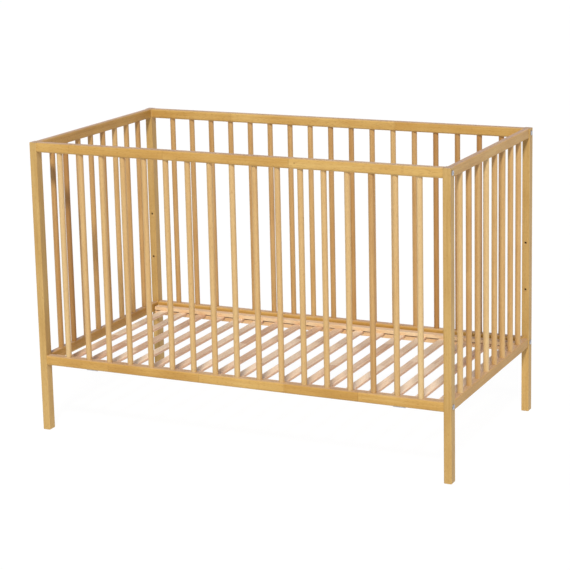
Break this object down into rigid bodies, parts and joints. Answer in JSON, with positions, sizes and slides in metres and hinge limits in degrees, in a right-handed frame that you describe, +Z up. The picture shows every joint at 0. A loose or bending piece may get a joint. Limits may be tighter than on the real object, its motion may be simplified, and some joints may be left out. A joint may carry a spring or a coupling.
{
  "type": "baby crib",
  "caption": "Beech baby crib with round spindles on all four sides and a slatted base that lifts to raised heights between four square-edged posts.",
  "frame": {"origin": "on the floor, at the middle of the footprint", "axes": "+X along the long sides towards the right end, +Y towards the back, +Z up"},
  "size_m": [1.254, 0.68, 0.838],
  "materials": {
    "lacquered_beech_post": "satin clear lacquer",
    "lacquered_beech_rail": "satin clear lacquer",
    "lacquered_beech_spindle": "satin clear lacquer",
    "beech_batten": "planed",
    "unfinished_beech_slat": "sanded, no lacquer",
    "dowel_wood": "fluted, plain",
    "zinc_plated_steel": "bright zinc plated"
  },
  "bodies": {
    "frame": {"front_left_post": "lacquered_beech_post", "back_left_post": "lacquered_beech_post", "front_right_post": "lacquered_beech_post", "back_right_post": "lacquered_beech_post", "front_top_rail": "lacquered_beech_rail", "front_low_rail": "lacquered_beech_rail", "back_top_rail": "lacquered_beech_rail", "back_low_rail": "lacquered_beech_rail", "left_end_top_rail": "lacquered_beech_rail", "left_end_low_rail": "lacquered_beech_rail", "right_end_top_rail": "lacquered_beech_rail", "right_end_low_rail": "lacquered_beech_rail", "front_spindles": "lacquered_beech_spindle", "back_spindles": "lacquered_beech_spindle", "left_end_spindles": "lacquered_beech_spindle", "right_end_spindles": "lacquered_beech_spindle", "connector_bolts": "zinc_plated_steel", "cross_nuts": "zinc_plated_steel", "side_rail_dowels": "dowel_wood", "end_rail_dowels": "dowel_wood", "steel_angles": "zinc_plated_steel", "angle_screws": "zinc_plated_steel"},
    "base": {"front_upper_batten": "beech_batten", "front_lower_batten": "beech_batten", "back_upper_batten": "beech_batten", "back_lower_batten": "beech_batten", "slat_01": "unfinished_beech_slat", "slat_02": "unfinished_beech_slat", "slat_03": "unfinished_beech_slat", "slat_04": "unfinished_beech_slat", "slat_05": "unfinished_beech_slat", "slat_06": "unfinished_beech_slat", "slat_07": "unfinished_beech_slat", "slat_08": "unfinished_beech_slat", "slat_09": "unfinished_beech_slat", "slat_10": "unfinished_beech_slat", "slat_11": "unfinished_beech_slat", "slat_12": "unfinished_beech_slat", "slat_13": "unfinished_beech_slat", "slat_14": "unfinished_beech_slat", "slat_15": "unfinished_beech_slat", "slat_16": "unfinished_beech_slat", "slat_17": "unfinished_beech_slat", "slat_18": "unfinished_beech_slat", "base_bolts": "zinc_plated_steel", "base_nuts": "zinc_plated_steel"}
  },
  "joints": [
    {"name": "base_height", "type": "slide", "parent": "frame", "child": "base", "axis": [0, 0, 1], "range_m": [0, 0.276]}
  ]
}
